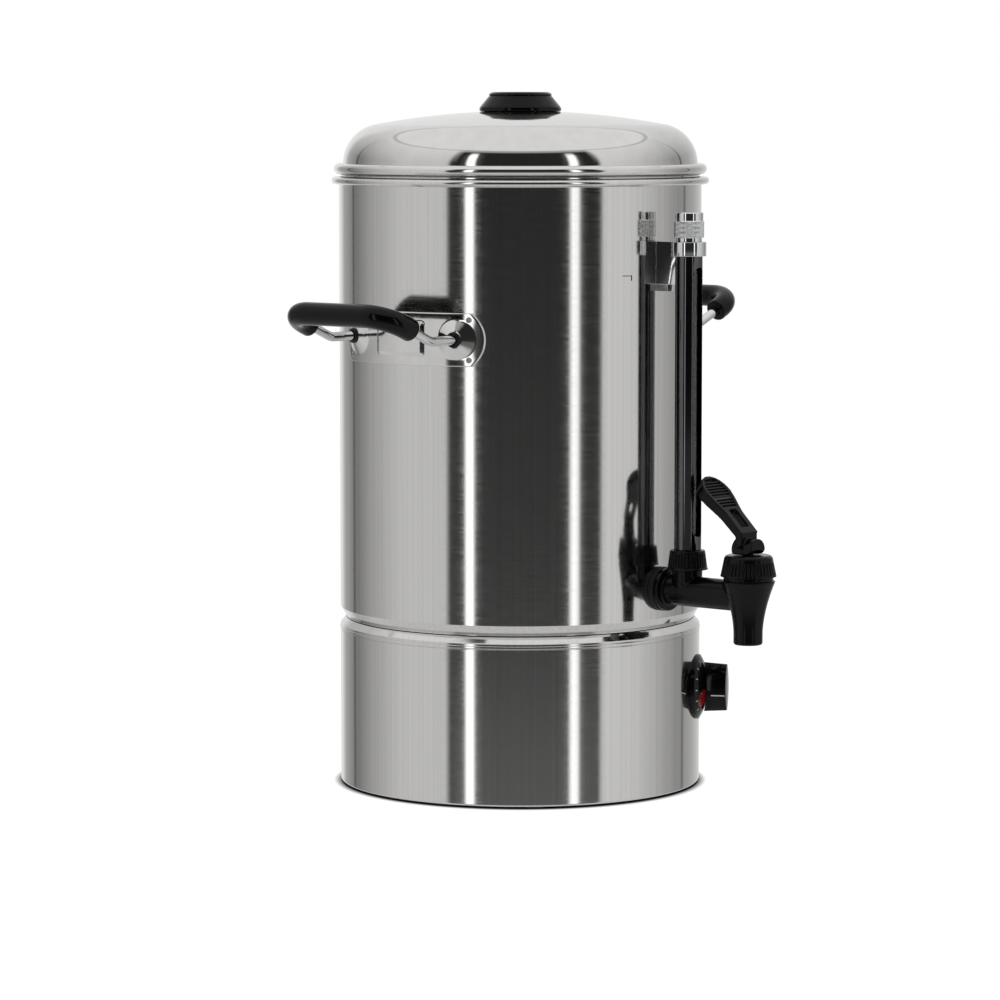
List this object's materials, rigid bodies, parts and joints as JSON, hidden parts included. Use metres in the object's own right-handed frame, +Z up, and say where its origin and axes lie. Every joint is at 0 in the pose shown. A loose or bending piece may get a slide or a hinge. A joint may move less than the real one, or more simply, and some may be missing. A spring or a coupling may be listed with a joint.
{
  "type": "hot water urn",
  "caption": "Round stainless steel hot water urn with a lift-off domed lid, side handles, a self-closing lever tap, a sight gauge and a thermostat dial.",
  "frame": {"origin": "on the table, on the axis of the tank, between the four feet", "axes": "+Z up, -Y out through the tap, +Y to the rear where the cord enters, +X to the right handle as seen from the tap"},
  "size_m": [0.3682, 0.3262, 0.45],
  "materials": {
    "polished_steel": "polished",
    "bright_steel": "polished",
    "plain_steel": "satin",
    "black_gloss": "gloss",
    "black_plastic": "fine texture",
    "black_rubber": "matte",
    "seal_silicone": "matte",
    "brass": "satin",
    "copper": "satin",
    "sheath_steel": "oxidised",
    "switch_plastic": "moulded",
    "terminal_plastic": "moulded",
    "gauge_glass": "clear",
    "red_lens": "clear gloss"
  },
  "bodies": {
    "urn": {"tank_shell": "polished_steel", "tank_floor": "polished_steel", "heating_element": "sheath_steel", "element_nuts": "brass", "element_seals": "seal_silicone", "joint_ring": "black_rubber", "base_shell": "polished_steel", "base_plate": "plain_steel", "rubber_feet": "black_rubber", "foot_screws": "plain_steel", "tie_rods": "plain_steel", "tie_rod_nuts": "plain_steel", "thermostat_body": "switch_plastic", "sensor_capillary": "copper", "bulb_clip": "plain_steel", "boil_dry_cutout": "switch_plastic", "terminal_block": "terminal_plastic", "cord_grommet": "black_rubber", "earth_screw": "brass", "dial_bezel": "black_gloss", "indicator_lens": "red_lens", "lamp_body": "terminal_plastic", "thermostat_screws": "plain_steel", "handle_plate_left": "bright_steel", "handle_plate_right": "bright_steel", "handle_rod_left": "bright_steel", "handle_rod_right": "bright_steel", "handle_grip_left": "black_gloss", "handle_grip_right": "black_gloss", "handle_rings_left": "black_rubber", "handle_rings_right": "black_rubber", "plate_rivets_left": "plain_steel", "plate_rivets_right": "plain_steel", "tap_body": "black_plastic", "tap_washer": "black_rubber", "tap_inner_nut": "black_plastic", "tap_inner_seal": "seal_silicone", "tap_bonnet": "black_plastic", "valve_spring": "plain_steel", "gauge_nut": "black_plastic", "gauge_seal_lower": "seal_silicone", "gauge_glass": "gauge_glass", "gauge_guard": "bright_steel", "gauge_bracket": "bright_steel", "bracket_bolt": "bright_steel", "gauge_cap": "bright_steel", "gauge_seal_upper": "seal_silicone"},
    "lid": {"lid_shell": "polished_steel", "lid_knob": "black_gloss", "knob_screw": "plain_steel", "knob_washer": "black_rubber"},
    "stem": {"valve_stem": "black_plastic", "seat_cup": "seal_silicone"},
    "lever": {"tap_lever": "black_plastic", "lever_pin": "plain_steel"},
    "dial": {"thermostat_knob": "black_gloss", "thermostat_shaft": "plain_steel"}
  },
  "joints": [
    {"name": "lid_lift", "type": "slide", "parent": "urn", "child": "lid", "axis": [0, 0, 1], "range_m": [0, 0.06]},
    {"name": "stem_lift", "type": "slide", "parent": "urn", "child": "stem", "axis": [0, 0, 1], "range_m": [0, 0.003], "deforming": ["valve_spring"]},
    {"name": "lever_tilt", "type": "hinge", "parent": "stem", "child": "lever", "pos_m": [0, -0.186, 0.1665], "axis": [1, 0, 0], "range_deg": [0, 45], "stiffness_Nm_per_rad": 0.03, "springref_deg": -14.32},
    {"name": "dial_turn", "type": "hinge", "parent": "urn", "child": "dial", "pos_m": [0.05708, -0.10556, 0.0645], "axis": [0.4756, -0.8796, 0], "range_deg": [-270, 0]}
  ],
  "couplings": [
    {"joint": "stem_lift", "follows": "lever_tilt", "m_per_rad": 0.0036}
  ]
}
